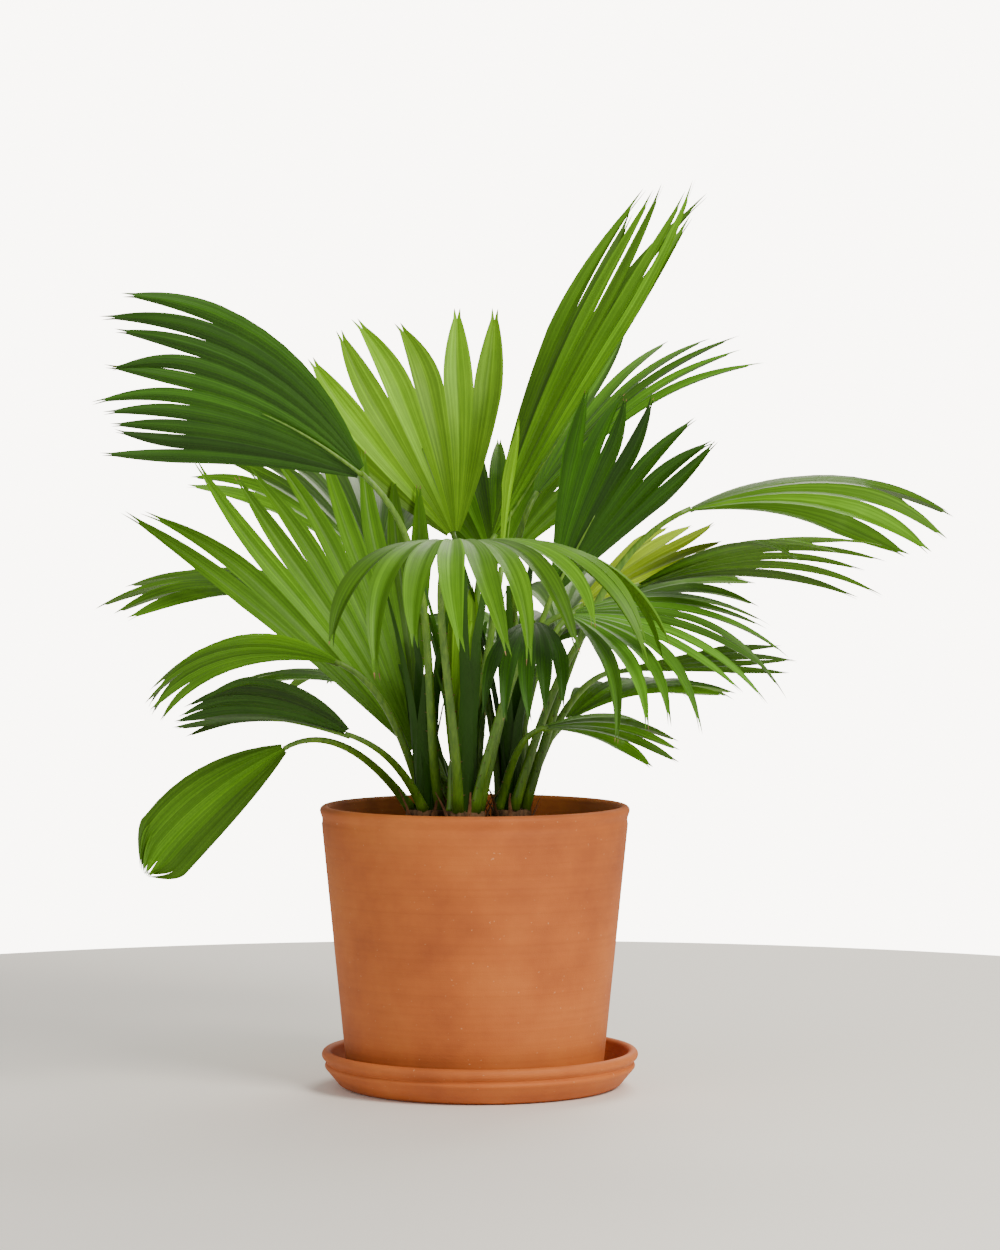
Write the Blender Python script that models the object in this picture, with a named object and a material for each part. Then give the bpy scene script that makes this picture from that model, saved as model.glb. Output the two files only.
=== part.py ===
"""A young fan palm in a terracotta pot on its saucer.

Metres, +Z up. The origin is the middle of the saucer's underside, and -Y is the side that faces the viewer.
Each frond is a petiole that rises from one of the short stems in the pot, and a fan blade that starts at the
petiole's tip, the hub. The blade's ribs run out from the hub and bend down with their own weight.
"""

import math
from collections import namedtuple

import bmesh
import bpy
from mathutils import Quaternion, Vector

CLEARANCE = 0.0003
SHARP_ANGLE = 35
ROUND_POINTS = 7

# The saucer, turned about the origin
SAUCER_HEIGHT = 0.036
SAUCER_RIM_RADIUS = 0.1555
SAUCER_FOOT_RADIUS = 0.133
SAUCER_FOOT_ROUND = 0.006
SAUCER_FLOOR = 0.010
SAUCER_WALL = 0.010
SAUCER_BEAD_HEIGHT = 0.021
SAUCER_BEAD_ROUND = 0.003
SAUCER_GROOVE_DEPTH = 0.002
SAUCER_INNER_ROUND = 0.006

# The pot, set a little to the left in its saucer
POT_X = -0.005
POT_HEIGHT = 0.265
POT_RIM_RADIUS = 0.1525
POT_BASE_RADIUS = 0.1255
POT_WALL = 0.010
POT_FLOOR = 0.012
POT_FOOT_ROUND = 0.003
POT_GROOVE_UNDER_RIM = 0.013
POT_GROOVE_HALF_HEIGHT = 0.005
POT_GROOVE_DEPTH = 0.0015
DRAIN_RADIUS = 0.012
SOIL_DEPTH_UNDER_RIM = 0.035

# The stems, short and fibrous, each at its own place in the soil
STEM_TOP_UNDER_RIM = 0.004
STEM_TOP_RADIUS = 0.0190
STEM_FOOT_RADIUS = 0.0225
STEM_SEAT_RADIUS = 0.0138
STEM_STATIONS = (0.0, 0.25, 0.6, 1.0)
STEM_PLACES = ((-0.054, -0.006), (-0.014, -0.034), (-0.018, 0.036), (0.030, -0.002), (0.032, 0.046))

# The petioles
PETIOLE_FOOT_RADIUS = 0.0044
PETIOLE_TIP_RADIUS = 0.0024
PETIOLE_UPRIGHT = 0.7
PETIOLE_TO_BLADE = 0.0008
PETIOLE_FOOT_PULL = 0.4
PETIOLE_TIP_PULL = 0.3
PETIOLE_STATIONS = 6
PETIOLE_SIDES = 6

# The blades
HUB_RADIUS = 0.011
BLADE_THICKNESS = 0.003
LEAST_THICKNESS_SHARE = 0.01
JOINED_STATIONS = 3
FREE_STATIONS = 3
BEND_POWER = 1.5
MOST_TURN_SHARE = 0.95
TAPER_POWER = 1.35
BEND_STEPS = 10

TURNED_SIDES = 40
STEM_SIDES = 12

TERRACOTTA = (0.60, 0.24, 0.10, 1.0)
SOIL_BROWN = (0.06, 0.04, 0.03, 1.0)
FIBRE_BROWN = (0.20, 0.11, 0.05, 1.0)
PETIOLE_GREEN = (0.22, 0.36, 0.07, 1.0)
BLADE_GREEN = (0.09, 0.27, 0.05, 1.0)

POT_FOOT_Z = SAUCER_FLOOR + CLEARANCE
RIM_Z = POT_FOOT_Z + POT_HEIGHT
SOIL_Z = RIM_Z - SOIL_DEPTH_UNDER_RIM
STEM_TOP_Z = RIM_Z - STEM_TOP_UNDER_RIM

# One frond. Heading turns from +X towards +Y, rise is the aim's slope, and roll drops the blade's right half,
# all in degrees. Spread is from the fan's middle to its last rib, and skew is how far that middle is turned to
# the right of the aim. Fold lifts both halves, and bend is how far the tips turn down. Sweep is how far the
# tips turn back to the aim, as a share of the way. Side is the length of the rib furthest from the aim beside
# one along it, and split is where the leaflets part.
Frond = namedtuple(
    "Frond",
    "name stem hub heading rise roll reach spread skew side split fold bend sweep leaflets",
)

FRONDS = (
    Frond("upper_left", 0, (-0.106, -0.110, 0.595), 180, 8, 65, 0.27, 33, -33, 1.27, 0.66, 10, 14, 0.95, 10),
    Frond("top_centre", 2, (-0.025, 0.110, 0.533), 150, 68, -55, 0.265, 42, 0, 0.95, 0.62, 5, 6, 0.55, 7),
    Frond("tallest", 3, (0.010, 0.010, 0.533), 10, 57, 0, 0.43, 30, 0, 0.92, 0.55, 40, 3, 0.8, 8),
    Frond("back_right", 4, (0.052, 0.066, 0.575), 38, 50, 0, 0.29, 32, 0, 1.00, 0.50, 5, 28, 0.0, 8),
    Frond("right_dark", 3, (0.069, 0.005, 0.477), -20, 62, -60, 0.245, 24, 0, 0.90, 0.62, 5, 10, 0.2, 7),
    Frond("young_right", 1, (0.020, -0.040, 0.500), 0, 83, 0, 0.17, 20, 0, 0.80, 0.60, 20, 3, 0.6, 4),
    Frond("far_right", 3, (0.199, 0.020, 0.563), -2, 22, 18, 0.30, 34, 0, 0.85, 0.62, -8, 62, 0.3, 7),
    Frond("right_lit", 3, (0.147, -0.030, 0.488), -10, 25, -18, 0.27, 28, 0, 0.90, 0.50, -5, 46, 0.0, 8),
    Frond("right_gold", 4, (0.094, 0.060, 0.466), 22, 30, 20, 0.19, 28, 0, 0.90, 0.66, 5, 14, 0.2, 6),
    Frond("front_fan", 1, (-0.023, -0.170, 0.533), -62, 10, 0, 0.26, 68, 0, 1.05, 0.50, 5, 100, 0.0, 12),
    Frond("right_front", 1, (0.083, -0.060, 0.465), -25, 0, 20, 0.24, 50, 0, 0.95, 0.45, 5, 60, 0.0, 11),
    Frond("right_low_back", 4, (0.130, 0.080, 0.403), 15, 5, 35, 0.21, 10, 0, 0.90, 0.60, 5, 4, 0.0, 4),
    Frond("left_big", 2, (-0.060, 0.015, 0.320), 178, 48, -65, 0.385, 26, 20, 0.78, 0.60, 5, 12, 0.0, 10),
    Frond("left_back", 2, (-0.150, 0.080, 0.467), 170, 22, -12, 0.25, 34, 0, 0.85, 0.62, 5, 54, 0.3, 6),
    Frond("left_low", 0, (-0.132, -0.030, 0.414), 182, 20, -20, 0.215, 34, 0, 0.95, 0.75, 5, 78, 1.1, 8),
    Frond("left_lower", 0, (-0.120, -0.080, 0.347), 190, 18, 25, 0.18, 44, 0, 0.95, 0.75, 25, 38, 0.9, 8),
    Frond("left_lowest", 0, (-0.179, -0.100, 0.342), 192, -30, -60, 0.19, 30, 0, 1.00, 0.85, 5, 25, 1.3, 7),
    Frond("young_centre", 1, (-0.028, -0.030, 0.310), 60, 84, 0, 0.19, 12, 0, 0.90, 0.80, 5, 2, 0.8, 3),
    Frond("centre_hanging", 1, (0.052, -0.100, 0.460), -95, -10, 0, 0.165, 34, 0, 0.90, 0.55, 5, 75, 0.7, 5),
    Frond("right_lowest", 3, (0.056, -0.045, 0.353), -5, 8, 20, 0.155, 30, 0, 0.85, 0.62, 5, 48, 0.2, 5),
    Frond("rear_left", 2, (-0.105, 0.130, 0.500), 118, 45, 0, 0.28, 42, 0, 0.85, 0.60, 8, 40, 0.0, 10),
    Frond("rear_middle", 4, (0.035, 0.165, 0.410), 88, 28, 0, 0.27, 52, 0, 0.85, 0.60, 8, 60, 0.0, 11),
    Frond("rear_right", 4, (0.080, 0.140, 0.440), 55, 32, 0, 0.26, 45, 0, 0.85, 0.60, 8, 50, 0.0, 10),
    Frond("rear_high", 2, (0.015, 0.160, 0.500), 88, 58, 0, 0.20, 46, 0, 0.85, 0.60, 8, 20, 0.0, 11),
    Frond("rear_left_low", 2, (-0.080, 0.105, 0.370), 125, 22, 0, 0.24, 42, 0, 0.85, 0.62, 8, 55, 0.0, 9),
    Frond("rear_right_low", 4, (0.085, 0.100, 0.350), 40, 30, 0, 0.21, 38, 0, 0.85, 0.62, 8, 58, 0.0, 8),
)


def clear_scene():
    """Remove what the scene holds."""
    for thing in list(bpy.data.objects):
        bpy.data.objects.remove(thing, do_unlink=True)


def plain_material(name, colour, roughness):
    """A material of one colour."""
    material = bpy.data.materials.new(name)
    material.use_nodes = True
    shader = material.node_tree.nodes["Principled BSDF"]
    shader.inputs["Base Color"].default_value = colour
    shader.inputs["Roughness"].default_value = roughness
    shader.inputs["Metallic"].default_value = 0.0
    material.diffuse_color = colour
    return material


def finished(name, shape, material, smooth=True):
    """Turn a bmesh into a named object with its faces pointing out."""
    bmesh.ops.recalc_face_normals(shape, faces=shape.faces)
    mesh = bpy.data.meshes.new(name)
    shape.to_mesh(mesh)
    shape.free()
    mesh.materials.append(material)
    if smooth:
        mesh.shade_smooth()
        mesh.set_sharp_from_angle(angle=math.radians(SHARP_ANGLE))
    piece = bpy.data.objects.new(name, mesh)
    bpy.context.scene.collection.objects.link(piece)
    return piece


def turned(name, outline, material, x=0.0):
    """Turn an outline of (radius, height) points about the vertical through x; off the axis it closes on itself."""
    shape = bmesh.new()
    line = [shape.verts.new((radius, 0.0, height)) for radius, height in outline]
    edges = [shape.edges.new(pair) for pair in zip(line, line[1:])]
    if outline[0][0] > 0:
        edges.append(shape.edges.new((line[-1], line[0])))
    bmesh.ops.spin(
        shape,
        geom=line + edges,
        cent=(0.0, 0.0, 0.0),
        axis=(0.0, 0.0, 1.0),
        angle=math.tau,
        steps=TURNED_SIDES,
        use_merge=True,
    )
    bmesh.ops.remove_doubles(shape, verts=shape.verts, dist=CLEARANCE / 10)
    piece = finished(name, shape, material)
    piece.location.x = x
    return piece


def arc(radius, height, bend, start, end):
    """Points of an outline on a round of radius bend, from one angle to the other in degrees."""
    turns = [math.radians(start + (end - start) * i / (ROUND_POINTS - 1)) for i in range(ROUND_POINTS)]
    return [(radius + bend * math.cos(turn), height + bend * math.sin(turn)) for turn in turns]


def saucer(material):
    """The saucer: a flat foot, a flared wall with a bead and a groove, and a rolled rim."""
    roll = SAUCER_WALL / 2
    rim = arc(SAUCER_RIM_RADIUS - roll, SAUCER_HEIGHT - roll, roll, -60, 180)
    bead = SAUCER_RIM_RADIUS - SAUCER_BEAD_ROUND
    inner = SAUCER_RIM_RADIUS - SAUCER_WALL - SAUCER_INNER_ROUND
    outline = [
        (0.0, 0.0),
        (SAUCER_FOOT_RADIUS, 0.0),
        (SAUCER_FOOT_RADIUS + SAUCER_FOOT_ROUND, SAUCER_FOOT_ROUND / 2),
        (bead - SAUCER_BEAD_ROUND / 2, SAUCER_BEAD_HEIGHT - SAUCER_BEAD_ROUND),
        (bead, SAUCER_BEAD_HEIGHT),
        (bead - SAUCER_GROOVE_DEPTH, SAUCER_BEAD_HEIGHT + SAUCER_BEAD_ROUND),
        *rim,
        (inner, SAUCER_FLOOR + SAUCER_INNER_ROUND),
        (inner - SAUCER_INNER_ROUND, SAUCER_FLOOR),
        (0.0, SAUCER_FLOOR),
    ]
    return turned("saucer", outline, material)


def pot_radius(height):
    """The pot's outer radius at a height over its foot."""
    return POT_BASE_RADIUS + (POT_RIM_RADIUS - POT_BASE_RADIUS) * height / POT_HEIGHT


def pot(material):
    """The pot: a tapering wall with a thumbed groove under its lip, and a drain hole."""
    lip = POT_WALL / 2
    groove = POT_HEIGHT - POT_GROOVE_UNDER_RIM
    under, over = groove - POT_GROOVE_HALF_HEIGHT, groove + POT_GROOVE_HALF_HEIGHT
    outer = [
        (DRAIN_RADIUS, 0.0),
        (POT_BASE_RADIUS - POT_FOOT_ROUND, 0.0),
        (POT_BASE_RADIUS, POT_FOOT_ROUND),
        (pot_radius(under), under),
        (pot_radius(groove) - POT_GROOVE_DEPTH, groove),
        (pot_radius(over), over),
        *arc(pot_radius(POT_HEIGHT) - lip, POT_HEIGHT - lip, lip, 0, 180),
        (pot_radius(POT_FLOOR) - POT_WALL, POT_FLOOR),
        (DRAIN_RADIUS, POT_FLOOR),
    ]
    outline = [(radius, POT_FOOT_Z + height) for radius, height in outer]
    return turned("pot", outline, material, POT_X)


def soil(material):
    """The soil that fills the pot to a little under its rim."""
    shape = bmesh.new()
    foot = POT_FLOOR + CLEARANCE
    depth = SOIL_Z - POT_FOOT_Z - foot
    gap = POT_WALL + 2 * CLEARANCE
    bmesh.ops.create_cone(
        shape,
        cap_ends=True,
        segments=TURNED_SIDES,
        radius1=(pot_radius(foot) - gap),
        radius2=(pot_radius(foot + depth) - gap),
        depth=depth,
    )
    bmesh.ops.translate(shape, verts=shape.verts, vec=(0, 0, POT_FOOT_Z + foot + depth / 2))
    piece = finished("soil", shape, material)
    piece.location.x = POT_X
    return piece


def limb(name, path, headings, radii, sides, material):
    """A tapering limb with a ring of corners square to its heading at each point of its path."""
    shape = bmesh.new()
    across = Vector((1, 0, 0))
    last = Vector((0, 0, 1))
    rings = []
    for place, heading, radius in zip(path, headings, radii):
        across.rotate(last.rotation_difference(heading))
        last = heading
        other = heading.cross(across)
        turns = [math.tau * i / sides for i in range(sides)]
        spots = [place + radius * (across * math.cos(t) + other * math.sin(t)) for t in turns]
        rings.append([shape.verts.new(spot) for spot in spots])
    for lower, upper in zip(rings, rings[1:]):
        for i in range(sides):
            shape.faces.new((lower[i - 1], lower[i], upper[i], upper[i - 1]))
    shape.faces.new(rings[0])
    shape.faces.new(rings[-1])
    return finished(name, shape, material)


def stem(number, material):
    """One short stem: flared at the soil, level at its top."""
    x, y = STEM_PLACES[number]
    foot = SOIL_Z + CLEARANCE
    rise = STEM_TOP_Z - foot
    flare = STEM_FOOT_RADIUS - STEM_TOP_RADIUS
    path = [Vector((x, y, foot + rise * share)) for share in STEM_STATIONS]
    radii = [STEM_TOP_RADIUS + flare * (1 - share) ** 2 for share in STEM_STATIONS]
    up = [Vector((0, 0, 1))] * len(STEM_STATIONS)
    return limb(f"stem_{number + 1}", path, up, radii, STEM_SIDES, material)


def blade_axes(frond):
    """The blade's aim, its right side and its upper face."""
    heading = math.radians(frond.heading)
    rise = math.radians(frond.rise)
    flat = Vector((math.cos(heading), math.sin(heading), 0))
    up = Vector((0, 0, 1))
    aim = flat * math.cos(rise) + up * math.sin(rise)
    face = up * math.cos(rise) - flat * math.sin(rise)
    face.rotate(Quaternion(aim, math.radians(frond.roll)))
    return aim, aim.cross(face), face


def rib_start(frond, share):
    """The way a rib leaves the hub: share runs from -1 at the fan's left edge to 1 at its right."""
    aim, side, face = blade_axes(frond)
    turn = math.radians(frond.spread * share + frond.skew)
    fold = math.radians(frond.fold)
    across = side * math.sin(turn) * math.cos(fold)
    lift = face * abs(math.sin(turn)) * math.sin(fold)
    return (aim * math.cos(turn) + across + lift).normalized()


def rib_length(frond, share):
    """A rib's length from the hub."""
    away = (frond.spread * share + frond.skew) / (frond.spread + abs(frond.skew))
    return frond.reach * (1 - (1 - frond.side) * away * away)


def bent(frond, start, share):
    """A rib's heading at a share of its length: it turns to the aim, and down but never past the vertical."""
    down = Vector((0, 0, -1))
    run = share**BEND_POWER
    heading = start.lerp(blade_axes(frond)[0], frond.sweep * share).normalized()
    turn = min(math.radians(frond.bend) * run, MOST_TURN_SHARE * heading.angle(down))
    heading.rotate(Quaternion(heading.cross(down).normalized(), turn))
    return heading


def rib_point(frond, share, distance):
    """The place and heading on a rib, at a distance from the hub along it."""
    start = rib_start(frond, share)
    length = rib_length(frond, share)
    place = Vector(frond.hub)
    step = distance / BEND_STEPS
    for i in range(BEND_STEPS):
        place += step * bent(frond, start, (i + 0.5) * step / length)
    return place, bent(frond, start, distance / length)


def joined_rows(frond, shape):
    """The corners of the blade's joined part: one row for each line between leaflets, from the hub out."""
    rows = []
    for line in range(frond.leaflets + 1):
        share = 2 * line / frond.leaflets - 1
        reach = frond.split * rib_length(frond, share)
        steps = [i / JOINED_STATIONS for i in range(JOINED_STATIONS + 1)]
        distances = [HUB_RADIUS + (reach - HUB_RADIUS) * step for step in steps]
        rows.append([shape.verts.new(rib_point(frond, share, d)[0]) for d in distances])
    return rows


def free_leaflet(frond, shape, number, left, right):
    """A leaflet's free end, from the two corners where it parts from its neighbours to its tip."""
    share = (2 * number + 1) / frond.leaflets - 1
    length = rib_length(frond, share)
    start = frond.split * length
    offset = (left.co + right.co) / 2 - rib_point(frond, share, start)[0]
    half = (right.co - left.co) / 2
    edge = (left, right)
    for i in range(1, FREE_STATIONS + 1):
        out = i / FREE_STATIONS
        middle, heading = rib_point(frond, share, start + (length - start) * out)
        middle += offset * (1 - out)
        if i == FREE_STATIONS:
            shape.faces.new((edge[0], shape.verts.new(middle), edge[1]))
            return
        width = (half - heading * half.dot(heading)).normalized() * half.length * (1 - out**TAPER_POWER)
        further = (shape.verts.new(middle - width), shape.verts.new(middle + width))
        shape.faces.new((edge[0], further[0], further[1], edge[1]))
        edge = further


def blade(frond, material):
    """A frond's blade: a fan of leaflets, joined near the hub and free beyond it."""
    shape = bmesh.new()
    rows = joined_rows(frond, shape)
    for number, (left, right) in enumerate(zip(rows, rows[1:])):
        for i in range(JOINED_STATIONS):
            shape.faces.new((left[i], left[i + 1], right[i + 1], right[i]))
        free_leaflet(frond, shape, number, left[-1], right[-1])
    piece = finished(f"blade_{frond.name}", shape, material, smooth=False)
    skin = piece.modifiers.new("thickness", "SOLIDIFY")
    skin.thickness = max(BLADE_THICKNESS, LEAST_THICKNESS_SHARE * frond.reach * max(1, frond.side))
    skin.offset = 0.0
    return piece


def seats(number):
    """Where each frond of one stem stands on the stem's top: in the order of the ways they lean, so none cross."""
    x, y = STEM_PLACES[number]
    own = [frond for frond in FRONDS if frond.stem == number]
    ways = [Vector((frond.hub[0] - x, frond.hub[1] - y)).normalized() for frond in own]
    middle = sum(ways, Vector((0, 0))).normalized()
    turns = [middle.angle_signed(way) for way in ways]
    order = sorted(range(len(own)), key=lambda i: -turns[i])
    places = {}
    for rank, i in enumerate(order):
        turn = math.atan2(middle.y, middle.x) + math.tau * ((rank + 0.5) / len(own) - 0.5)
        spot = (x + STEM_SEAT_RADIUS * math.cos(turn), y + STEM_SEAT_RADIUS * math.sin(turn))
        places[own[i].name] = Vector((*spot, STEM_TOP_Z + CLEARANCE))
    return places


def petiole(frond, foot, material):
    """A frond's stalk: up from its seat on the stem, over in one curve, and into the blade's aim."""
    way = rib_start(frond, 0)
    tip = Vector(frond.hub) + (HUB_RADIUS - PETIOLE_TO_BLADE) * way
    span = (tip - foot).length
    leave = ((tip - foot).normalized() + Vector((0, 0, PETIOLE_UPRIGHT))).normalized()
    controls = (foot, foot + leave * PETIOLE_FOOT_PULL * span, tip - way * PETIOLE_TIP_PULL * span, tip)
    path, headings, radii = [], [], []
    for i in range(PETIOLE_STATIONS):
        t = i / (PETIOLE_STATIONS - 1)
        weights = ((1 - t) ** 3, 3 * t * (1 - t) ** 2, 3 * t * t * (1 - t), t**3)
        path.append(sum((c * w for c, w in zip(controls, weights)), Vector()))
        slopes = (3 * (1 - t) ** 2, 6 * t * (1 - t), 3 * t * t)
        legs = [b - a for a, b in zip(controls, controls[1:])]
        headings.append(sum((leg * s for leg, s in zip(legs, slopes)), Vector()).normalized())
        radii.append(PETIOLE_FOOT_RADIUS + (PETIOLE_TIP_RADIUS - PETIOLE_FOOT_RADIUS) * t)
    headings[0] = Vector((0, 0, 1))
    return limb(f"petiole_{frond.name}", path, headings, radii, PETIOLE_SIDES, material)


def build():
    """Make every piece of the potted palm."""
    clear_scene()
    terracotta = plain_material("terracotta", TERRACOTTA, 0.85)
    earth = plain_material("soil", SOIL_BROWN, 0.95)
    fibre = plain_material("fibre", FIBRE_BROWN, 0.9)
    stalk = plain_material("petiole", PETIOLE_GREEN, 0.5)
    leaf = plain_material("leaf", BLADE_GREEN, 0.45)
    saucer(terracotta)
    pot(terracotta)
    soil(earth)
    feet = {}
    for number in range(len(STEM_PLACES)):
        stem(number, fibre)
        feet.update(seats(number))
    for frond in FRONDS:
        petiole(frond, feet[frond.name], stalk)
        blade(frond, leaf)


build()
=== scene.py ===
"""The looks of the potted fan palm: pleated blades, spined petioles, fibrous stems, clay pot and saucer.

The fronds follow the same rule as the solids they replace, with finer leaflets that fold along their ribs
and fork at their tips. Metres, +Z up, and -Y is the side that faces the camera.
"""

import math
import random
from collections import namedtuple

import bmesh
import bpy
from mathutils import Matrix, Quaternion, Vector


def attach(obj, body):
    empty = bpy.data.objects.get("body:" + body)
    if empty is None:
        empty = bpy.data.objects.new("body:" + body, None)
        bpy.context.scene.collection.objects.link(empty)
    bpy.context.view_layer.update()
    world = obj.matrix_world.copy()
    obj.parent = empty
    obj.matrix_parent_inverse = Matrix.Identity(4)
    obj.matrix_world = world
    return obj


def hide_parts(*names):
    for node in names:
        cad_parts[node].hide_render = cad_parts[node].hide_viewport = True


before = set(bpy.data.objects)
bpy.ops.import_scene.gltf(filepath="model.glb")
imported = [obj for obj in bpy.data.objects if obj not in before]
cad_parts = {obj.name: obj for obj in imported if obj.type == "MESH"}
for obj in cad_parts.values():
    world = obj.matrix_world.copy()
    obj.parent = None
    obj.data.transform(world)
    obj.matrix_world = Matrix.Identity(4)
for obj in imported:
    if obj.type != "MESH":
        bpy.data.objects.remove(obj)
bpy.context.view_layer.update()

# Sizes that the solids share
CLEARANCE = 0.0003
SAUCER_HEIGHT = 0.036
SAUCER_RIM_RADIUS = 0.1555
SAUCER_FOOT_RADIUS = 0.133
SAUCER_FOOT_ROUND = 0.006
SAUCER_FLOOR = 0.010
SAUCER_WALL = 0.010
SAUCER_BEAD_HEIGHT = 0.021
SAUCER_BEAD_ROUND = 0.003
SAUCER_GROOVE_DEPTH = 0.002
SAUCER_INNER_ROUND = 0.006
POT_X = -0.005
POT_HEIGHT = 0.265
POT_RIM_RADIUS = 0.1525
POT_BASE_RADIUS = 0.1255
POT_WALL = 0.010
POT_FLOOR = 0.012
POT_FOOT_ROUND = 0.003
POT_GROOVE_UNDER_RIM = 0.013
POT_GROOVE_HALF_HEIGHT = 0.005
POT_GROOVE_DEPTH = 0.0010
DRAIN_RADIUS = 0.012
SOIL_DEPTH_UNDER_RIM = 0.035
STEM_TOP_UNDER_RIM = 0.004
STEM_TOP_RADIUS = 0.0190
STEM_FOOT_RADIUS = 0.0225
STEM_SEAT_RADIUS = 0.0138
STEM_PLACES = ((-0.054, -0.006), (-0.014, -0.034), (-0.018, 0.036), (0.030, -0.002), (0.032, 0.046))
PETIOLE_FOOT_RADIUS = 0.0044
PETIOLE_TIP_RADIUS = 0.0024
PETIOLE_UPRIGHT = 0.7
PETIOLE_TO_BLADE = 0.0008
PETIOLE_FOOT_PULL = 0.4
PETIOLE_TIP_PULL = 0.3
HUB_RADIUS = 0.011
BEND_POWER = 1.5
MOST_TURN_SHARE = 0.95
TAPER_POWER = 2.0
POT_FOOT_Z = SAUCER_FLOOR + CLEARANCE
RIM_Z = POT_FOOT_Z + POT_HEIGHT
SOIL_Z = RIM_Z - SOIL_DEPTH_UNDER_RIM
STEM_TOP_Z = RIM_Z - STEM_TOP_UNDER_RIM

# The camera: how far off and how high it stands, and its focal length and level line in the picture
IMAGE_LONG_SIDE = 1250
SENSOR_LONG_SIDE = 36.0
CAMERA_PLACE = (0.0197, -4.0, 0.582)
FOCAL_PIXELS = 4066
LEVEL_LINE = 493
FLOOR_RADIUS = 1.29

# How finely the pieces are made
TURNED_SIDES = 144
RIB_STEPS = 36
COLUMNS = 8
JOINED_ROWS = 9
FREE_ROWS = 10
FORK_ROWS = 6
PRONG_COLUMNS = 4
STALK_STATIONS = 22
STALK_SIDES = 10

# The leaflets
PLEAT_DEPTH = 0.40
VEIN_DEPTH = 0.035
FORK_START = 0.86
FORK_OPENING = 0.25
SWAY = 0.075
SHORTEST_LEAFLET = 0.74
GATHER_START = 0.70
GATHER_RATE = 5.5
TIP_BROWN_SHARE = 0.45
SPINE_LENGTH = 0.0030
SPINE_SPACING = 0.011
SPINE_REACH = 0.55
PLEAT_AT_HUB = 0.35
GATHER_MOST = 0.9
SHORTEST_PRONG = 0.86
PRONG_TAPER_POWER = 0.8
BROWN_SLOT = 3
SHADE_CHOICES = (0, 1, 1, 2)

# The petioles, and the midribs that run on under the blades
TUBE_WIDE = 1.1
TUBE_FLAT = 0.9
CLASP = 0.25
CLASP_FADE = 14
MIDRIB_SHARE = 0.7
MIDRIB_DROP = 0.9
MIDRIB_TAPER = 0.85
MIDRIB_THICK = 0.8
MIDRIB_SIDES = 8

# The stems, with their strips of dry leaf base and their young folded leaves
STEM_SIDES = 40
STEM_ROWS = 8
STEM_RIDGE = 0.05
STEM_RIDGES = 13
STRIP_ROWS = 6
STRIP_BEND = 0.35
STRIP_TAPER = 0.75
STRIP_RAGGED = 0.12
STRIP_CUP = 0.18
STRIP_JITTER = 0.3
HUSKS = 5
HUSK_LENGTHS = (0.034, 0.052)
HUSK_WIDTHS = (0.005, 0.009)
HUSK_LIFT = 0.002
HUSK_OUT = 0.93
SPEARS = 7
SPEAR_LENGTHS = (0.13, 0.27)
SPEAR_WIDTH = 0.017
SPEAR_LEAN = 0.5
SPEAR_SUNK = 0.004

# The pot's and the soil's finer shape
SHARP_ANGLE = 40
POT_WALL_STEPS = 12
POT_GROOVE_STEPS = 4
POT_INNER_RINGS = 30
POT_INNER_RING_DEPTH = 0.0005
POT_INNER_LIP = 0.003
POT_INNER_FOOT = 0.004
SOIL_RINGS = 26
SOIL_SIDES = 96
SOIL_LUMPS = (-0.0035, 0.0025)

# The surfaces: linear colours, and sizes of patterns and relief
PLAIN = (1.0, 1.0, 1.0)
LEAF_ROUGHNESS = 0.50
LEAF_SPECULAR = 0.24
VEIN_STRETCH = (46.0, 0.9, 1.0)
VEIN_DARK = 0.72
VEIN_LIGHT = 1.45
VEIN_RELIEF = 0.0006
MOTTLE_SCALE = 28.0
MOTTLE_SHADE = (0.80, 0.84, 0.80)
CLAY_ROUGHNESS = 0.72
CLOUD_SCALE = 7.0
RING_STRETCH = (1.2, 1.2, 170.0)
RING_SHADE = (0.88, 0.86, 0.84)
RING_RELIEF = 0.0007
GRIT_SCALE = 900.0
GRIT_RELIEF = 0.0003
SPECK_SCALE = 330.0
SPECK_COLOUR = (0.66, 0.36, 0.18)

CLAY_COLOURS = ((0.32, 0.070, 0.010), (0.45, 0.110, 0.014), (0.55, 0.155, 0.022))
SOIL_COLOURS = ((0.012, 0.008, 0.005), (0.075, 0.048, 0.030))
FIBRE_COLOURS = ((0.05, 0.025, 0.012), (0.26, 0.13, 0.055))
HUSK_COLOURS = ((0.10, 0.04, 0.018), (0.38, 0.17, 0.07))
STALK_COLOURS = ((0.055, 0.150, 0.008), (0.150, 0.300, 0.018))
SPINE_COLOURS = ((0.10, 0.06, 0.02), (0.28, 0.16, 0.05))
DRY_COLOURS = ((0.12, 0.055, 0.02), (0.34, 0.19, 0.08))

# The floor and the surround
FLOOR_SIDES = 128
FLOOR_ROUGHNESS = 0.6
FLOOR_COLOUR = (0.90, 0.87, 0.83)
SURROUND_LIGHT = (1.0, 0.965, 0.92)
SURROUND_STRENGTH = 0.55
BACKDROP_COLOUR = (1.0, 0.95, 0.87)
BACKDROP_STRENGTH = 9.0

Frond = namedtuple(
    "Frond",
    "name stem hub heading rise roll reach spread skew side split fold bend sweep leaflets",
)

Free = namedtuple("Free", "frond number middle half base drift length")

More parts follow.
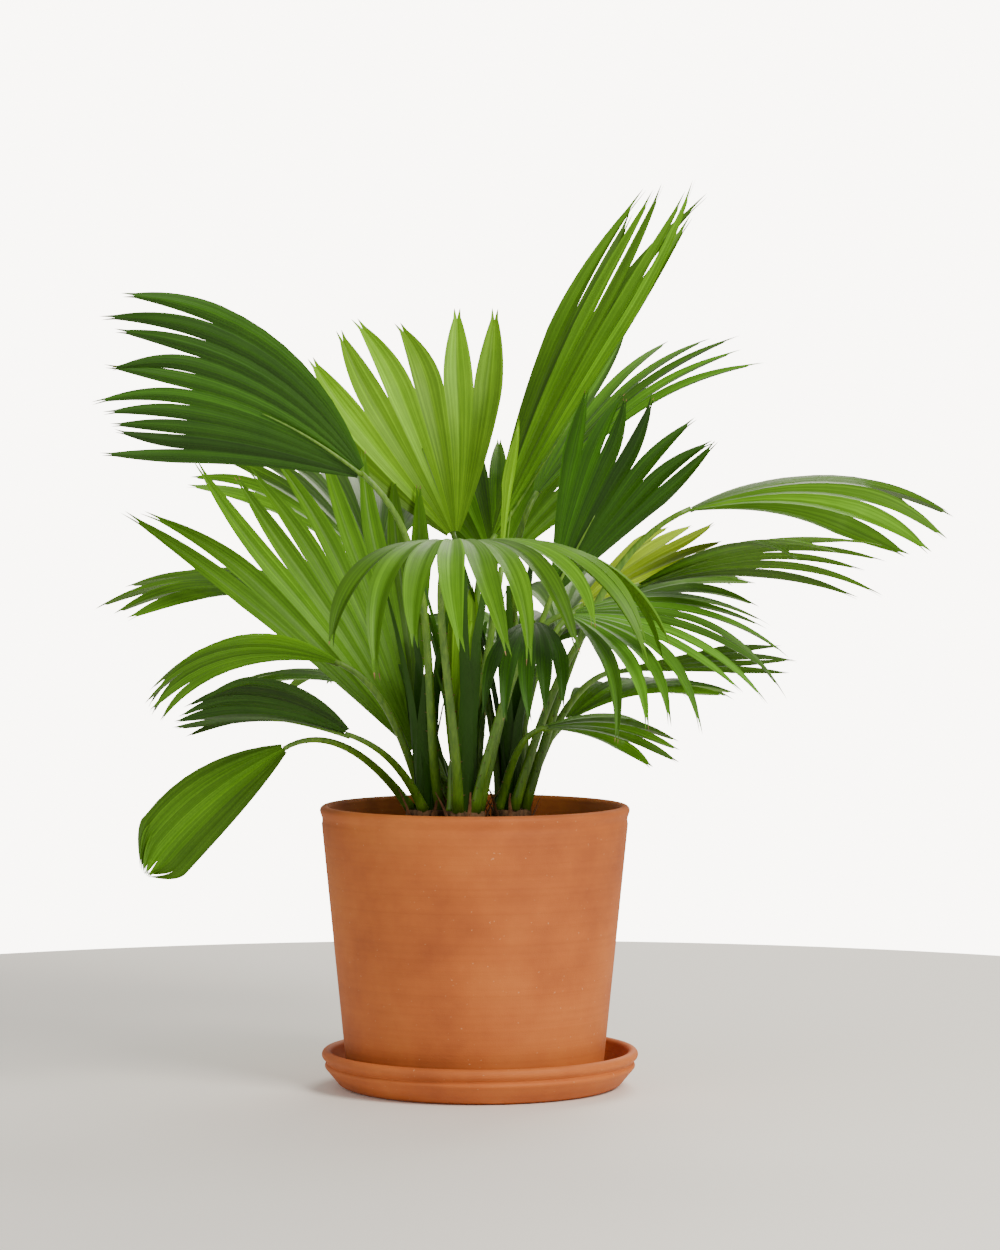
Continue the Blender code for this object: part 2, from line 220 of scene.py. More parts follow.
FRONDS = (
    Frond("upper_left", 0, (-0.106, -0.110, 0.595), 180, 8, 65, 0.27, 33, -33, 1.27, 0.66, 10, 14, 0.95, 10),
    Frond("top_centre", 2, (-0.025, 0.110, 0.533), 150, 68, -55, 0.265, 42, 0, 0.95, 0.62, 5, 6, 0.55, 7),
    Frond("tallest", 3, (0.010, 0.010, 0.533), 10, 57, 0, 0.43, 30, 0, 0.92, 0.55, 40, 3, 0.8, 8),
    Frond("back_right", 4, (0.052, 0.066, 0.575), 38, 50, 0, 0.29, 32, 0, 1.00, 0.50, 5, 28, 0.0, 8),
    Frond("right_dark", 3, (0.069, 0.005, 0.477), -20, 62, -60, 0.245, 24, 0, 0.90, 0.62, 5, 10, 0.2, 7),
    Frond("young_right", 1, (0.020, -0.040, 0.500), 0, 83, 0, 0.17, 20, 0, 0.80, 0.60, 20, 3, 0.6, 4),
    Frond("far_right", 3, (0.199, 0.020, 0.563), -2, 22, 18, 0.30, 34, 0, 0.85, 0.62, -8, 62, 0.3, 7),
    Frond("right_lit", 3, (0.147, -0.030, 0.488), -10, 25, -18, 0.27, 28, 0, 0.90, 0.50, -5, 46, 0.0, 8),
    Frond("right_gold", 4, (0.094, 0.060, 0.466), 22, 30, 20, 0.19, 28, 0, 0.90, 0.66, 5, 14, 0.2, 6),
    Frond("front_fan", 1, (-0.023, -0.170, 0.533), -62, 10, 0, 0.26, 68, 0, 1.05, 0.50, 5, 100, 0.0, 12),
    Frond("right_front", 1, (0.083, -0.060, 0.465), -25, 0, 20, 0.24, 50, 0, 0.95, 0.45, 5, 60, 0.0, 11),
    Frond("right_low_back", 4, (0.130, 0.080, 0.403), 15, 5, 35, 0.21, 10, 0, 0.90, 0.60, 5, 4, 0.0, 4),
    Frond("left_big", 2, (-0.060, 0.015, 0.320), 178, 48, -65, 0.385, 26, 20, 0.78, 0.60, 5, 12, 0.0, 10),
    Frond("left_back", 2, (-0.150, 0.080, 0.467), 170, 22, -12, 0.25, 34, 0, 0.85, 0.62, 5, 54, 0.3, 6),
    Frond("left_low", 0, (-0.132, -0.030, 0.414), 182, 20, -20, 0.215, 34, 0, 0.95, 0.75, 5, 78, 1.1, 8),
    Frond("left_lower", 0, (-0.120, -0.080, 0.347), 190, 18, 25, 0.18, 44, 0, 0.95, 0.75, 25, 38, 0.9, 8),
    Frond("left_lowest", 0, (-0.179, -0.100, 0.342), 192, -30, -60, 0.19, 30, 0, 1.00, 0.85, 5, 25, 1.3, 7),
    Frond("young_centre", 1, (-0.028, -0.030, 0.310), 60, 84, 0, 0.19, 12, 0, 0.90, 0.80, 5, 2, 0.8, 3),
    Frond("centre_hanging", 1, (0.052, -0.100, 0.460), -95, -10, 0, 0.165, 34, 0, 0.90, 0.55, 5, 75, 0.7, 5),
    Frond("right_lowest", 3, (0.056, -0.045, 0.353), -5, 8, 20, 0.155, 30, 0, 0.85, 0.62, 5, 48, 0.2, 5),
    Frond("rear_left", 2, (-0.105, 0.130, 0.500), 118, 45, 0, 0.28, 42, 0, 0.85, 0.60, 8, 40, 0.0, 10),
    Frond("rear_middle", 4, (0.035, 0.165, 0.410), 88, 28, 0, 0.27, 52, 0, 0.85, 0.60, 8, 60, 0.0, 11),
    Frond("rear_right", 4, (0.080, 0.140, 0.440), 55, 32, 0, 0.26, 45, 0, 0.85, 0.60, 8, 50, 0.0, 10),
    Frond("rear_high", 2, (0.015, 0.160, 0.500), 88, 58, 0, 0.20, 46, 0, 0.85, 0.60, 8, 20, 0.0, 11),
    Frond("rear_left_low", 2, (-0.080, 0.105, 0.370), 125, 22, 0, 0.24, 42, 0, 0.85, 0.62, 8, 55, 0.0, 9),
    Frond("rear_right_low", 4, (0.085, 0.100, 0.350), 40, 30, 0, 0.21, 38, 0, 0.85, 0.62, 8, 58, 0.0, 8),
)

# Linear base colours, and the tone that each frond takes. Mid is the leaf's own green; the darkest tone is
# painted shade, the two yellowest tones are painted backlight glow, and the bluish tone is a painted sheen.
TONES = {
    "deep": (0.026, 0.090, 0.002),
    "mid": (0.082, 0.215, 0.002),
    "fresh": (0.160, 0.360, 0.003),
    "gold": (0.320, 0.470, 0.004),
    "cool": (0.078, 0.215, 0.010),
}
SHADES = (0.66, 1.0, 1.35)
# Each frond's tone; the fronds with the dark, yellow and bluish tones get painted shade, painted backlight
# glow and painted sheen for how the light falls on them
FROND_TONES = {
    "upper_left": "deep",
    "top_centre": "fresh",
    "tallest": "mid",
    "back_right": "cool",
    "right_dark": "deep",
    "young_right": "fresh",
    "far_right": "mid",
    "right_lit": "mid",
    "right_gold": "gold",
    "front_fan": "mid",
    "right_front": "cool",
    "right_low_back": "mid",
    "left_big": "mid",
    "left_back": "mid",
    "left_low": "mid",
    "left_lower": "deep",
    "left_lowest": "mid",
    "young_centre": "fresh",
    "centre_hanging": "deep",
    "right_lowest": "mid",
}


def new_material(name, roughness):
    """A material with its shader, its node tree and a way to add nodes."""
    material = bpy.data.materials.new(name)
    material.use_nodes = True
    tree = material.node_tree
    shader = tree.nodes["Principled BSDF"]
    shader.inputs["Roughness"].default_value = roughness
    return material, tree, shader


def noise(tree, vector, scale, detail, roughness=0.55):
    """A noise texture's factor."""
    node = tree.nodes.new("ShaderNodeTexNoise")
    node.inputs["Scale"].default_value = scale
    node.inputs["Detail"].default_value = detail
    node.inputs["Roughness"].default_value = roughness
    tree.links.new(vector, node.inputs["Vector"])
    return node.outputs["Fac"]


def stretched(tree, source, scale):
    """Coordinates scaled along each axis."""
    node = tree.nodes.new("ShaderNodeMapping")
    node.inputs["Scale"].default_value = scale
    tree.links.new(source, node.inputs["Vector"])
    return node.outputs["Vector"]


def ramp(tree, factor, stops):
    """Colours by factor."""
    node = tree.nodes.new("ShaderNodeValToRGB")
    elements = node.color_ramp.elements
    while len(elements) < len(stops):
        elements.new(0.5)
    for element, (place, colour) in zip(elements, stops):
        element.position = place
        element.color = (*colour, 1.0)
    tree.links.new(factor, node.inputs["Fac"])
    return node.outputs["Color"]


def mixed(tree, factor, first, second, blend="MIX"):
    """Two colours mixed by a factor, which is a socket or a number."""
    node = tree.nodes.new("ShaderNodeMix")
    node.data_type = "RGBA"
    node.blend_type = blend
    if isinstance(factor, float):
        node.inputs["Factor"].default_value = factor
    else:
        tree.links.new(factor, node.inputs["Factor"])
    tree.links.new(first, node.inputs["A"])
    tree.links.new(second, node.inputs["B"])
    return node.outputs["Result"]


def bump(tree, shader, height, distance, strength=1.0, under=None):
    """Relief on a shader from a height, on top of another relief if one is given."""
    node = tree.nodes.new("ShaderNodeBump")
    node.inputs["Strength"].default_value = strength
    node.inputs["Distance"].default_value = distance
    tree.links.new(height, node.inputs["Height"])
    if under is not None:
        tree.links.new(under, node.inputs["Normal"])
    tree.links.new(node.outputs["Normal"], shader.inputs["Normal"])
    return node.outputs["Normal"]


def coordinates(tree, kind):
    """Texture coordinates: Object or UV."""
    return tree.nodes.new("ShaderNodeTexCoord").outputs[kind]


def scaled(colour, factor):
    """A colour made lighter or darker."""
    return tuple(channel * factor for channel in colour)


def leaf_material(name, colour):
    """A satin leaf with fine veins along its leaflets and a faint mottle."""
    material, tree, shader = new_material(name, LEAF_ROUGHNESS)
    shader.inputs["Specular IOR Level"].default_value = LEAF_SPECULAR
    veins = noise(tree, stretched(tree, coordinates(tree, "UV"), VEIN_STRETCH), 1.0, 3.0, 0.6)
    mottle = noise(tree, coordinates(tree, "Object"), MOTTLE_SCALE, 3.0)
    dark, light = scaled(colour, VEIN_DARK), scaled(colour, VEIN_LIGHT)
    streaks = ramp(tree, veins, ((0.36, dark), (0.52, colour), (0.68, light)))
    soft = ramp(tree, mottle, ((0.3, MOTTLE_SHADE), (0.7, PLAIN)))
    tree.links.new(mixed(tree, 1.0, streaks, soft, "MULTIPLY"), shader.inputs["Base Color"])
    bump(tree, shader, veins, VEIN_RELIEF, 0.7)
    return material


def plain_noise_material(name, dark, light, roughness, scale, relief, stretch=(1.0, 1.0, 1.0)):
    """A rough surface whose colour and relief follow one stretched noise."""
    material, tree, shader = new_material(name, roughness)
    grain = noise(tree, stretched(tree, coordinates(tree, "Object"), stretch), scale, 6.0, 0.65)
    tree.links.new(ramp(tree, grain, ((0.3, dark), (0.7, light))), shader.inputs["Base Color"])
    bump(tree, shader, grain, relief)
    return material


def clay_material(name, dark, middle, light):
    """Unglazed terracotta: cloudy colour, faint turning rings, fine grit and a few pale specks."""
    material, tree, shader = new_material(name, CLAY_ROUGHNESS)
    place = coordinates(tree, "Object")
    clouds = noise(tree, place, CLOUD_SCALE, 5.0, 0.6)
    rings = noise(tree, stretched(tree, place, RING_STRETCH), 1.0, 2.0, 0.5)
    grit = noise(tree, place, GRIT_SCALE, 2.0, 0.6)
    specks = noise(tree, place, SPECK_SCALE, 1.0, 0.5)
    cloudy = ramp(tree, clouds, ((0.30, dark), (0.50, middle), (0.72, light)))
    ringed = ramp(tree, rings, ((0.30, RING_SHADE), (0.60, PLAIN)))
    clay = mixed(tree, 0.6, cloudy, ringed, "MULTIPLY")
    pale = tree.nodes.new("ShaderNodeRGB")
    pale.outputs[0].default_value = (*SPECK_COLOUR, 1.0)
    shown = ramp(tree, specks, ((0.74, (0.0, 0.0, 0.0)), (0.80, (0.45, 0.45, 0.45))))
    tree.links.new(mixed(tree, shown, clay, pale.outputs[0]), shader.inputs["Base Color"])
    under = bump(tree, shader, rings, RING_RELIEF, 0.5)
    bump(tree, shader, grit, GRIT_RELIEF, 0.5, under)
    return material


def make_piece(name, points, faces, materials, slots, replaced, uvs=None):
    """A mesh piece of the plant or pot that stands for CAD nodes."""
    mesh = bpy.data.meshes.new(name)
    mesh.from_pydata([tuple(point) for point in points], [], faces)
    for material in materials:
        mesh.materials.append(material)
    mesh.polygons.foreach_set("material_index", slots)
    if uvs is not None:
        layer = mesh.uv_layers.new(name="UVMap")
        for loop in mesh.loops:
            layer.data[loop.index].uv = uvs[loop.vertex_index]
    mesh.validate()
    mesh.shade_smooth()
    piece = bpy.data.objects.new(name, mesh)
    bpy.context.scene.collection.objects.link(piece)
    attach(piece, "root")
    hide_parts(*replaced)
    return piece


def turned(name, outline, material, x, replaced):
    """Turn an outline of (radius, height) points about the vertical through x.

    It closes on the axis where it starts there, and on itself otherwise.
    """
    on_axis = outline[0][0] == 0.0
    points, faces = [], []
    for radius, height in outline:
        for i in range(TURNED_SIDES):
            turn = math.tau * i / TURNED_SIDES
            points.append((x + radius * math.cos(turn), radius * math.sin(turn), height))
    rows = list(zip(range(len(outline)), range(1, len(outline))))
    if not on_axis:
        rows.append((len(outline) - 1, 0))
    for low, high in rows:
        for i in range(TURNED_SIDES):
            j = (i + 1) % TURNED_SIDES
            a, b = low * TURNED_SIDES + i, low * TURNED_SIDES + j
            c, d = high * TURNED_SIDES + j, high * TURNED_SIDES + i
            faces.append((a, b, c, d))
    piece = make_piece(name, points, faces, [material], [0] * len(faces), replaced)
    if on_axis:
        close_axis(piece)
    piece.data.set_sharp_from_angle(angle=math.radians(SHARP_ANGLE))
    return piece


def close_axis(piece):
    """Merge the points that lie together on the axis."""
    shape = bmesh.new()
    shape.from_mesh(piece.data)
    bmesh.ops.remove_doubles(shape, verts=shape.verts, dist=CLEARANCE / 10)
    bmesh.ops.recalc_face_normals(shape, faces=shape.faces)
    shape.to_mesh(piece.data)
    shape.free()


def arc(radius, height, bend, start, end, points=13):
    """Points of an outline on a round of radius bend, from one angle to the other in degrees."""
    turns = [math.radians(start + (end - start) * i / (points - 1)) for i in range(points)]
    return [(radius + bend * math.cos(turn), height + bend * math.sin(turn)) for turn in turns]


def saucer(material):
    """The saucer, with its bead, groove and rolled rim."""
    roll = SAUCER_WALL / 2
    bead = SAUCER_RIM_RADIUS - SAUCER_BEAD_ROUND
    inner = SAUCER_RIM_RADIUS - SAUCER_WALL - SAUCER_INNER_ROUND
    flare = SAUCER_FOOT_RADIUS + SAUCER_FOOT_ROUND
    outline = [
        (0.0, 0.0),
        (SAUCER_FOOT_RADIUS - 0.002, 0.0),
        (SAUCER_FOOT_RADIUS, 0.0004),
        (flare, SAUCER_FOOT_ROUND / 2),
        *arc(bead - SAUCER_BEAD_ROUND, SAUCER_BEAD_HEIGHT - 0.001, SAUCER_BEAD_ROUND, -50, 70, 7),
        (bead - SAUCER_GROOVE_DEPTH, SAUCER_BEAD_HEIGHT + SAUCER_BEAD_ROUND),
        *arc(SAUCER_RIM_RADIUS - roll, SAUCER_HEIGHT - roll, roll, -55, 180),
        (inner, SAUCER_FLOOR + SAUCER_INNER_ROUND),
        (inner - 0.002, SAUCER_FLOOR + 0.002),
        (inner - SAUCER_INNER_ROUND, SAUCER_FLOOR),
        (0.0, SAUCER_FLOOR),
    ]
    return turned("clay_saucer", outline, material, 0.0, ["saucer"])


def pot_radius(height):
    """The pot's outer radius at a height over its foot."""
    return POT_BASE_RADIUS + (POT_RIM_RADIUS - POT_BASE_RADIUS) * height / POT_HEIGHT


def pot(material):
    """The pot: a smooth tapering wall, a thumbed groove, a rounded lip and turning rings inside."""
    lip = POT_WALL / 2
    groove = POT_HEIGHT - POT_GROOVE_UNDER_RIM
    outline = [
        (DRAIN_RADIUS, 0.0),
        (POT_BASE_RADIUS - POT_FOOT_ROUND, 0.0),
        (POT_BASE_RADIUS, POT_FOOT_ROUND),
    ]
    for step in range(1, POT_WALL_STEPS):
        height = groove * step / POT_WALL_STEPS
        outline.append((pot_radius(height), height))
    for step in range(2 * POT_GROOVE_STEPS + 1):
        away = step / POT_GROOVE_STEPS - 1
        height = groove + away * POT_GROOVE_HALF_HEIGHT
        outline.append((pot_radius(height) - POT_GROOVE_DEPTH * math.cos(away * math.pi / 2), height))
    outline += arc(pot_radius(POT_HEIGHT) - lip, POT_HEIGHT - lip, lip, 0, 180, 15)
    top = POT_HEIGHT - lip - POT_INNER_LIP
    for step in range(POT_INNER_RINGS):
        height = top - (top - POT_FLOOR) * step / POT_INNER_RINGS
        depth = POT_INNER_RING_DEPTH * (step % 2)
        outline.append((pot_radius(height) - POT_WALL - depth, height))
    outline += [(pot_radius(POT_FLOOR) - POT_WALL - POT_INNER_FOOT, POT_FLOOR), (DRAIN_RADIUS, POT_FLOOR)]
    raised = [(radius, POT_FOOT_Z + height) for radius, height in outline]
    return turned("clay_pot", raised, material, POT_X, ["pot"])


def soil(material):
    """Crumbly soil that fills the pot, with lumps on its top."""
    dice = random.Random(5)
    rings, sides = SOIL_RINGS, SOIL_SIDES
    reach = pot_radius(SOIL_Z - POT_FOOT_Z) - POT_WALL - 2 * CLEARANCE
    foot_reach = pot_radius(POT_FLOOR) - POT_WALL - 2 * CLEARANCE
    points = [(POT_X, 0.0, SOIL_Z)]
    for ring in range(1, rings + 1):
        radius = reach * ring / rings
        for i in range(sides):
            turn = math.tau * i / sides
            lump = 0.0 if ring == rings else dice.uniform(*SOIL_LUMPS)
            points.append((POT_X + radius * math.cos(turn), radius * math.sin(turn), SOIL_Z + lump))
    foot = POT_FOOT_Z + POT_FLOOR + CLEARANCE
    for i in range(sides):
        turn = math.tau * i / sides
        points.append((POT_X + foot_reach * math.cos(turn), foot_reach * math.sin(turn), foot))
    points.append((POT_X, 0.0, foot))
    faces = [(0, 1 + i, 1 + (i + 1) % sides) for i in range(sides)]
    for ring in range(rings):
        low, high = 1 + ring * sides, 1 + (ring + 1) * sides
        for i in range(sides):
            j = (i + 1) % sides
            faces.append((low + i, high + i, high + j, low + j))
    last, low = len(points) - 1, 1 + rings * sides
    faces += [(last, low + (i + 1) % sides, low + i) for i in range(sides)]
    return make_piece("soil_fill", points, faces, [material], [0] * len(faces), ["soil"])


def blade_axes(frond):
    """The blade's aim, its right side and its upper face."""
    heading = math.radians(frond.heading)
    rise = math.radians(frond.rise)
    flat = Vector((math.cos(heading), math.sin(heading), 0))
    up = Vector((0, 0, 1))
    aim = flat * math.cos(rise) + up * math.sin(rise)
    face = up * math.cos(rise) - flat * math.sin(rise)
    face.rotate(Quaternion(aim, math.radians(frond.roll)))
    return aim, aim.cross(face), face


def rib_start(frond, share):
    """The way a rib leaves the hub: share runs from -1 at the fan's left edge to 1 at its right."""
    aim, side, face = blade_axes(frond)
    turn = math.radians(frond.spread * share + frond.skew)
    fold = math.radians(frond.fold)
    across = side * math.sin(turn) * math.cos(fold)
    lift = face * abs(math.sin(turn)) * math.sin(fold)
    return (aim * math.cos(turn) + across + lift).normalized()


def rib_length(frond, share):
    """A rib's length from the hub."""
    away = (frond.spread * share + frond.skew) / (frond.spread + abs(frond.skew))
    return frond.reach * (1 - (1 - frond.side) * away * away)


def rib_path(frond, share):
    """A rib's places and headings at even steps from the hub to its tip."""
    down = Vector((0, 0, -1))
    aim = blade_axes(frond)[0]
    start = rib_start(frond, share)
    step = rib_length(frond, share) / RIB_STEPS
    place = Vector(frond.hub)
    path = []
    for i in range(2 * RIB_STEPS + 1):
        run = i / (2 * RIB_STEPS)
        heading = start.lerp(aim, frond.sweep * run).normalized()
        most = MOST_TURN_SHARE * heading.angle(down)
        turn = min(math.radians(frond.bend) * run**BEND_POWER, most)
        heading.rotate(Quaternion(heading.cross(down).normalized(), turn))
        if i % 2 == 0:
            path.append((place.copy(), heading))
        else:
            place += step * heading
    return path


def on_path(path, run):
    """The place and heading at a share of a rib's length."""
    at = min(max(run, 0.0), 1.0) * RIB_STEPS
    low = min(int(at), RIB_STEPS - 1)
    rest = at - low
    return path[low][0].lerp(path[low + 1][0], rest), path[low][1].lerp(path[low + 1][1], rest)


class Sheet:
    """The growing lists of one blade's mesh."""

    def __init__(self):
        self.points, self.uvs, self.faces, self.slots = [], [], [], []

    def row(self, spots):
        """Add a row of (point, uv) and return its numbers."""
        first = len(self.points)
        for point, uv in spots:
            self.points.append(point)
            self.uvs.append(uv)
        return list(range(first, len(self.points)))

    def join(self, low, high, slot):
        """Faces between two rows of one length."""
        for i in range(len(low) - 1):
            self.faces.append((low[i], low[i + 1], high[i + 1], high[i]))
            self.slots.append(slot)


def pleated(point, normal, c, width, depth):
    """A point pushed down towards the rib of its leaflet, with fine veins beside it."""
    fold = depth * (1 - abs(c)) * width
    vein = VEIN_DEPTH * width * math.cos(c * math.pi * COLUMNS / 2) * (1 - abs(c))
    return point - normal * (fold + vein)


def add_leaflet(sheet, frond, number, paths, dice, slot):
    """One leaflet: joined to its neighbours near the hub, then free, then forked."""
    columns = [2 * j / COLUMNS - 1 for j in range(COLUMNS + 1)]
    own = [paths[number * COLUMNS + j] for j in range(COLUMNS + 1)]
    middle = own[COLUMNS // 2]
    first = HUB_RADIUS / frond.reach
    last = None
    for i in range(JOINED_ROWS + 1):
        run = first + (frond.split - first) * i / JOINED_ROWS
        flat = [on_path(path, run)[0] for path in own]
        across = flat[-1] - flat[0]
        normal = across.cross(middle[int(run * RIB_STEPS)][1]).normalized()
        depth = PLEAT_DEPTH * (PLEAT_AT_HUB + (1 - PLEAT_AT_HUB) * i / JOINED_ROWS)
        spots = []
        for c, point in zip(columns, flat):
            uv = ((number + 0.5 + c / 2) / 4, run)
            spots.append((pleated(point, normal, c, across.length / 2, depth), uv))
        row = sheet.row(spots)
        if last is not None:
            sheet.join(last, row, slot)
        last = row
    half = across / 2
    base = (flat[0] + flat[-1]) / 2 - on_path(middle, frond.split)[0]
    loose = 2 * (1 - frond.split) * SWAY * frond.reach
    sway = half.normalized() * dice.uniform(-1.0, 1.0) * loose
    curl = normal * dice.uniform(-1.0, 0.5) * loose
    joined = max(0.0, frond.split - GATHER_START)
    length = dice.uniform(SHORTEST_LEAFLET, 1.0) if joined == 0.0 else 1.0
    gather = (paths[len(paths) // 2][-1][0] - middle[-1][0]) * min(joined * GATHER_RATE, GATHER_MOST)
    free = Free(frond, number, middle, half, base, sway + curl + gather, length)
    last = add_free(sheet, free, last, columns, slot)
    add_prong(sheet, free, last[: COLUMNS // 2 + 1], -1, 1.0, slot, dice)
    add_prong(sheet, free, last[COLUMNS // 2 :], 1, dice.uniform(SHORTEST_PRONG, 1.0), slot, dice)


def free_frame(free, out):
    """A free leaflet's middle, its way across and its normal at a share of its free length."""
    split = free.frond.split
    place, heading = on_path(free.middle, split + (1 - split) * out * free.length)
    across = (free.half - heading * free.half.dot(heading)).normalized()
    normal = across.cross(heading).normalized()
    return place + free.base * (1 - out) + free.drift * out * out, across, normal


def free_width(half, out):
    """A free leaflet's half width."""
    return half.length * (1 - out**TAPER_POWER)


def add_free(sheet, free, last, columns, slot):
    """The rows of a leaflet from where it parts from its neighbours to its fork."""
    split = free.frond.split
    for i in range(1, FREE_ROWS + 1):
        out = FORK_START * i / FREE_ROWS
        place, across, normal = free_frame(free, out)
        width = free_width(free.half, out)
        spots = []
        for c in columns:
            point = pleated(place + across * width * c, normal, c, width, PLEAT_DEPTH * (1 + out))
            uv = ((free.number + 0.5 + c / 2) / 4, split + (1 - split) * out)
            spots.append((point, uv))
        row = sheet.row(spots)
        sheet.join(last, row, slot)
        last = row
    return last


def add_prong(sheet, free, last, way, length, slot, dice):
    """One of the two narrow tips of a leaflet; its end is often dry and brown."""
    split = free.frond.split
    fork = free_width(free.half, FORK_START)
    brown = dice.random() < TIP_BROWN_SHARE
    for i in range(1, FORK_ROWS + 1):
        step = i / FORK_ROWS
        out = FORK_START + (1 - FORK_START) * length * step
        place, across, normal = free_frame(free, out)
        centre = place + across * way * fork * (0.5 + FORK_OPENING * step)
        narrow = fork / 2 * (1 - step) ** PRONG_TAPER_POWER
        lift = PLEAT_DEPTH * fork * (1 - step)
        if i == FORK_ROWS:
            tip = sheet.row([(centre, (free.number / 4, 1.0))])[0]
            for a, b in zip(last, last[1:]):
                sheet.faces.append((a, b, tip))
                sheet.slots.append(BROWN_SLOT if brown else slot)
            return
        spots = []
        for j in range(PRONG_COLUMNS + 1):
            c = 2 * j / PRONG_COLUMNS - 1
            inward = (1 - c * way) / 2
            point = centre + across * narrow * c - normal * lift * inward
            spots.append((point, ((free.number + 0.5 + c / 4) / 4, split + (1 - split) * out)))
        row = sheet.row(spots)
        sheet.join(last, row, BROWN_SLOT if brown and i >= FORK_ROWS - 1 else slot)
        last = row


def blade(frond, greens, brown):
    """A frond's blade: a fan of pleated leaflets, in three shades of its tone."""
    dice = random.Random(frond.name)
    lines = frond.leaflets * COLUMNS
    paths = [rib_path(frond, 2 * i / lines - 1) for i in range(lines + 1)]
    sheet = Sheet()
    for number in range(frond.leaflets):
        add_leaflet(sheet, frond, number, paths, dice, dice.choice(SHADE_CHOICES))
    materials = [*greens, brown]
    name, replaced = f"fan_{frond.name}", f"blade_{frond.name}"
    return make_piece(
        name, sheet.points, sheet.faces, materials, sheet.slots, [replaced], sheet.uvs
    )


def seats(number):
    """Where each frond of one stem stands on the stem's top: in the order of the ways they lean."""
    x, y = STEM_PLACES[number]
    own = [frond for frond in FRONDS if frond.stem == number]
    ways = [Vector((frond.hub[0] - x, frond.hub[1] - y)).normalized() for frond in own]
    middle = sum(ways, Vector((0, 0))).normalized()
    turns = [middle.angle_signed(way) for way in ways]
    order = sorted(range(len(own)), key=lambda i: -turns[i])
    places = {}
    for rank, i in enumerate(order):
        turn = math.atan2(middle.y, middle.x) + math.tau * ((rank + 0.5) / len(own) - 0.5)
        spot = (x + STEM_SEAT_RADIUS * math.cos(turn), y + STEM_SEAT_RADIUS * math.sin(turn))
        places[own[i].name] = Vector((*spot, STEM_TOP_Z + CLEARANCE))
    return places


def stalk_path(frond, foot):
    """A petiole's places and headings: up from its seat, over in one curve, and into the blade."""
    way = rib_start(frond, 0)
    tip = Vector(frond.hub) + (HUB_RADIUS - PETIOLE_TO_BLADE) * way
    span = (tip - foot).length
    leave = ((tip - foot).normalized() + Vector((0, 0, PETIOLE_UPRIGHT))).normalized()
    controls = (foot, foot + leave * PETIOLE_FOOT_PULL * span, tip - way * PETIOLE_TIP_PULL * span, tip)
    legs = [b - a for a, b in zip(controls, controls[1:])]
    path = []
    for i in range(STALK_STATIONS):
        t = i / (STALK_STATIONS - 1)
        weights = ((1 - t) ** 3, 3 * t * (1 - t) ** 2, 3 * t * t * (1 - t), t**3)
        slopes = (3 * (1 - t) ** 2, 6 * t * (1 - t), 3 * t * t)
        place = sum((c * w for c, w in zip(controls, weights)), Vector())
        heading = sum((leg * s for leg, s in zip(legs, slopes)), Vector()).normalized()
        path.append((place, heading, t))
    return path


def tube(points, faces, slots, path, radius_at, sides, slot):
    """Add a tapering tube, a little wider than it is thick, along a path."""
    across = Vector((1, 0, 0))
    last = Vector((0, 0, 1))
    first = len(points)
    for place, heading, t in path:
        across.rotate(last.rotation_difference(heading))
        last = heading
        other = heading.cross(across)
        for i in range(sides):
            turn = math.tau * i / sides
            radius = radius_at(t)
            wide = across * math.cos(turn) * radius * TUBE_WIDE
            points.append(place + wide + other * math.sin(turn) * radius * TUBE_FLAT)
    for row in range(len(path) - 1):
        low, high = first + row * sides, first + (row + 1) * sides
        for i in range(sides):
            j = (i + 1) % sides
            faces.append((low + i, low + j, high + j, high + i))
            slots.append(slot)
    end = first + (len(path) - 1) * sides
    faces.append(tuple(range(end, end + sides)))
    faces.append(tuple(range(first + sides - 1, first - 1, -1)))
    slots += [slot, slot]


def spines(points, faces, slots, path, radius_at, dice):
    """Small hooked spines along both margins of a petiole's lower part."""
    walked = 0.0
    for (place, heading, t), following in zip(path, path[1:]):
        walked += (following[0] - place).length
        if t > SPINE_REACH or walked < SPINE_SPACING:
            continue
        walked = 0.0
        side = heading.cross(Vector((0, 0, 1)))
        if side.length < 0.05:
            side = Vector((1, 0, 0))
        side.normalize()
        for way in (-1, 1):
            root = place + side * way * radius_at(t) * 0.9
            out = (side * way + heading * 0.35).normalized() * SPINE_LENGTH * dice.uniform(0.7, 1.2)
            base = SPINE_LENGTH * 0.3
            under = root + side.cross(heading) * base
            number = len(points)
            points += [root + heading * base, root - heading * base, under, root + out]
            faces += [(number, number + 1, number + 3), (number + 1, number + 2, number + 3)]
            faces += [(number + 2, number, number + 3), (number, number + 2, number + 1)]
            slots += [1] * 4


def midrib_radius(t):
    """The midrib's radius at a share of its length."""
    return PETIOLE_TIP_RADIUS * (1 - MIDRIB_TAPER * t) * MIDRIB_THICK


def petiole(frond, foot, green, spine):
    """A petiole with a clasping foot, marginal spines, and the midrib that runs on under the blade."""
    dice = random.Random(frond.name + "stalk")
    points, faces, slots = [], [], []

    def radius_at(t):
        thick = PETIOLE_FOOT_RADIUS + (PETIOLE_TIP_RADIUS - PETIOLE_FOOT_RADIUS) * t
        return thick * (1 + CLASP * math.exp(-t * CLASP_FADE))

    path = stalk_path(frond, foot)
    tube(points, faces, slots, path, radius_at, STALK_SIDES, 0)
    spines(points, faces, slots, path, radius_at, dice)
    rib = rib_path(frond, 0)
    reach = int(RIB_STEPS * frond.split * MIDRIB_SHARE)
    under = []
    for i in range(1, reach):
        place, heading = rib[i]
        normal = blade_axes(frond)[1].cross(heading).normalized()
        under.append((place - normal * PETIOLE_TIP_RADIUS * MIDRIB_DROP, heading, i / reach))
    tube(points, faces, slots, under, midrib_radius, MIDRIB_SIDES, 0)
    name, replaced = f"stalk_{frond.name}", f"petiole_{frond.name}"
    return make_piece(name, points, faces, [green, spine], slots, [replaced])


